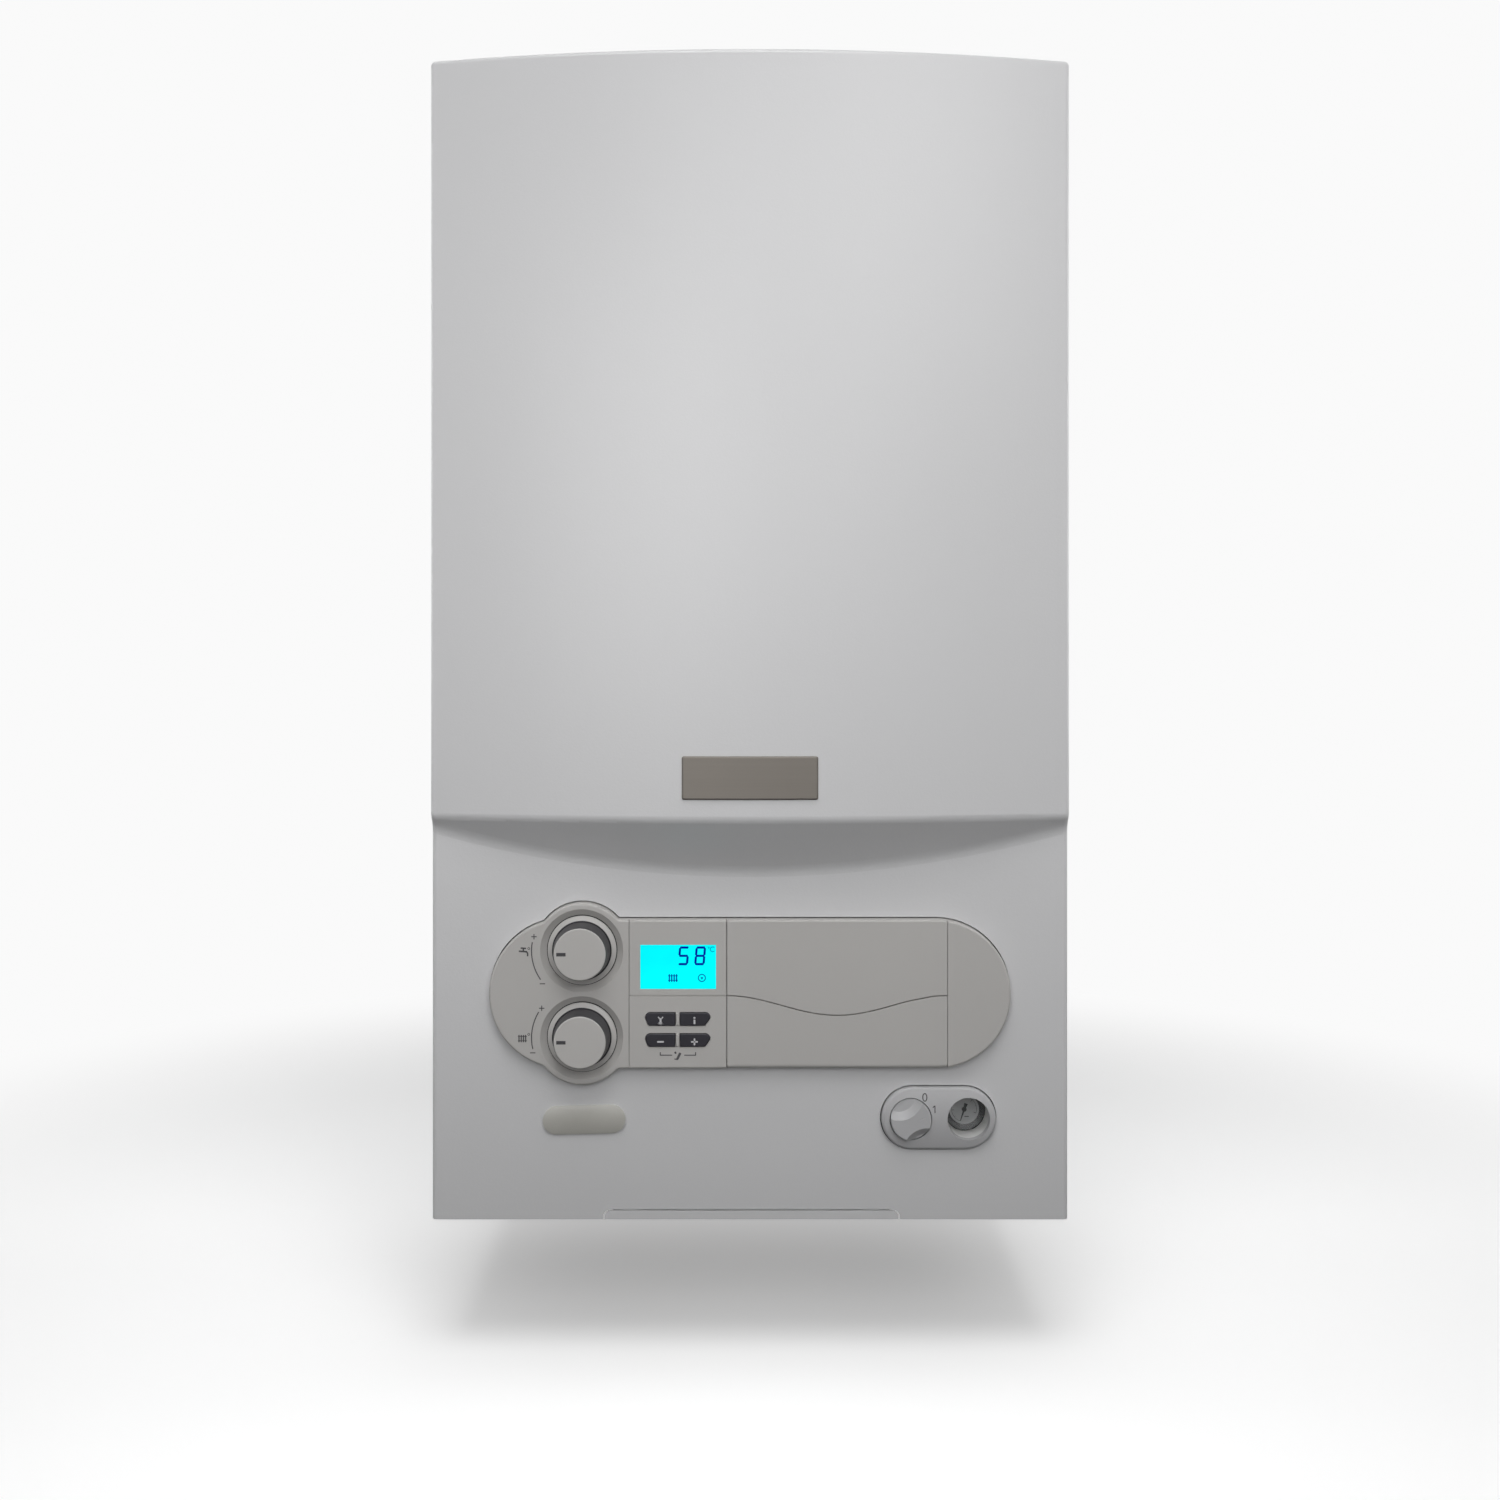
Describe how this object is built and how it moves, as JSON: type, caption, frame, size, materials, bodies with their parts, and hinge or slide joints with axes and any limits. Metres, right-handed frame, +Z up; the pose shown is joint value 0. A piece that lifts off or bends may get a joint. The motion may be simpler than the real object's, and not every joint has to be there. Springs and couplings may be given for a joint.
{
  "type": "combi boiler",
  "caption": "Wall-hung combi boiler with a bowed white casing, grey control fascia, temperature knobs, flap, pressure gauge and fan flue.",
  "frame": {"origin": "on the wall plane, midway between the two screws of the wall bracket", "axes": "+X to the right as seen from the front, +Y into the wall, +Z up; the front faces -Y"},
  "size_m": [0.44, 0.3398, 0.884],
  "materials": {
    "white_enamel": "stoved white enamel, satin",
    "white_plastic": "moulded, satin",
    "galvanised": "galvanised sheet",
    "zinc": "zinc plated",
    "nickel": "satin nickel",
    "pearl": "pearl lacquer",
    "gasket": "fibre and silicone strip",
    "clear_glass": "clear",
    "insulation": "fibre board",
    "stainless": "bright",
    "aluminium": "cast or pressed",
    "ceramic_white": "glazed",
    "copper": "drawn copper",
    "brass": "machined",
    "black_plastic": "moulded",
    "red_paint": "enamel",
    "red_plastic": "moulded",
    "cast_grey": "painted casting",
    "board_green": "circuit board",
    "panel_grey": "moulded, fine grain",
    "knob_grey": "moulded, fine grain",
    "button_dark": "moulded",
    "display_cyan": "lit display",
    "needle_black": "matt black"
  },
  "bodies": {
    "chassis": {"back_frame": "galvanised", "wall_bracket": "galvanised", "left_side_panel": "white_enamel", "right_side_panel": "white_enamel", "top_plate": "galvanised", "pipe_plate": "galvanised", "air_chamber": "galvanised", "chamber_cover": "galvanised", "chamber_seal": "gasket", "sight_glass": "clear_glass", "combustion_box": "insulation", "burner": "stainless", "gas_manifold": "aluminium", "electrodes": "ceramic_white", "heat_exchanger": "copper", "flue_hood": "aluminium", "fan_housing": "aluminium", "fan_motor": "zinc", "flue_adapter": "aluminium", "air_pressure_switch": "black_plastic", "expansion_vessel": "red_paint", "pump_housing": "cast_grey", "pump_motor": "cast_grey", "air_vent": "brass", "plate_heat_exchanger": "stainless", "diverter_valve": "brass", "diverter_motor": "black_plastic", "safety_valve": "brass", "gas_valve": "aluminium", "water_pipes": "copper", "gas_pipe": "copper", "union_nuts": "brass", "control_box": "black_plastic", "control_fascia": "panel_grey", "main_board": "board_green", "rotary_controls": "black_plastic", "display_window": "display_cyan", "display_bezel": "panel_grey", "blank_cover": "panel_grey", "gauge_bezel": "white_plastic", "gauge_case": "black_plastic", "gauge_lens": "clear_glass", "cable_gland": "black_plastic"},
    "front_cover": {"front_casing": "white_enamel", "casing_screws": "zinc", "nameplate": "nickel", "model_badge": "pearl", "bottom_access_cap": "white_plastic"},
    "hot_water_dial": {"hot_water_knob": "knob_grey"},
    "heating_dial": {"heating_knob": "knob_grey"},
    "power_switch": {"power_knob": "white_plastic"},
    "reset_key": {"reset_button": "button_dark"},
    "info_key": {"info_button": "button_dark"},
    "minus_key": {"minus_button": "button_dark"},
    "plus_key": {"plus_button": "button_dark"},
    "flap": {"controller_flap": "panel_grey"},
    "pressure_pointer": {"gauge_needle": "needle_black"},
    "fan_wheel": {"fan_impeller": "stainless"},
    "pump_wheel": {"pump_rotor": "stainless"},
    "relief_cap": {"safety_valve_knob": "red_plastic"}
  },
  "joints": [
    {"name": "casing_pull", "type": "slide", "parent": "chassis", "child": "front_cover", "axis": [0, -1, 0], "range_m": [0, 0.2]},
    {"name": "hot_water_turn", "type": "hinge", "parent": "chassis", "child": "hot_water_dial", "pos_m": [-0.1157, -0.3, -0.5127], "axis": [0, 1, 0], "range_deg": [-60, 210]},
    {"name": "heating_turn", "type": "hinge", "parent": "chassis", "child": "heating_dial", "pos_m": [-0.1157, -0.3, -0.5725], "axis": [0, 1, 0], "range_deg": [-60, 210]},
    {"name": "power_turn", "type": "hinge", "parent": "chassis", "child": "power_switch", "pos_m": [0.1108, -0.3, -0.6292], "axis": [0, 1, 0], "range_deg": [-33, 0]},
    {"name": "reset_press", "type": "slide", "parent": "chassis", "child": "reset_key", "axis": [0, 1, 0], "range_m": [0, 0.001], "stiffness_N_per_m": 400, "springref_m": -0.001},
    {"name": "info_press", "type": "slide", "parent": "chassis", "child": "info_key", "axis": [0, 1, 0], "range_m": [0, 0.001], "stiffness_N_per_m": 400, "springref_m": -0.001},
    {"name": "minus_press", "type": "slide", "parent": "chassis", "child": "minus_key", "axis": [0, 1, 0], "range_m": [0, 0.001], "stiffness_N_per_m": 400, "springref_m": -0.001},
    {"name": "plus_press", "type": "slide", "parent": "chassis", "child": "plus_key", "axis": [0, 1, 0], "range_m": [0, 0.001], "stiffness_N_per_m": 400, "springref_m": -0.001},
    {"name": "flap_fold", "type": "hinge", "parent": "chassis", "child": "flap", "pos_m": [0.06, -0.31, -0.5908], "axis": [1, 0, 0], "range_deg": [0, 90]},
    {"name": "pressure_turn", "type": "hinge", "parent": "chassis", "child": "pressure_pointer", "pos_m": [0.1507, -0.283, -0.6292], "axis": [0, 1, 0], "range_deg": [0, 270], "stiffness_Nm_per_rad": 0.0002},
    {"name": "fan_spin", "type": "hinge", "parent": "chassis", "child": "fan_wheel", "pos_m": [0, -0.16, 0.005], "axis": [0, 1, 0], "continuous": true},
    {"name": "pump_spin", "type": "hinge", "parent": "chassis", "child": "pump_wheel", "pos_m": [0.13, -0.18, -0.61], "axis": [0, 1, 0], "continuous": true},
    {"name": "relief_turn", "type": "hinge", "parent": "chassis", "child": "relief_cap", "pos_m": [0.062, -0.19, -0.61], "axis": [0, 1, 0], "range_deg": [0, 90]}
  ]
}
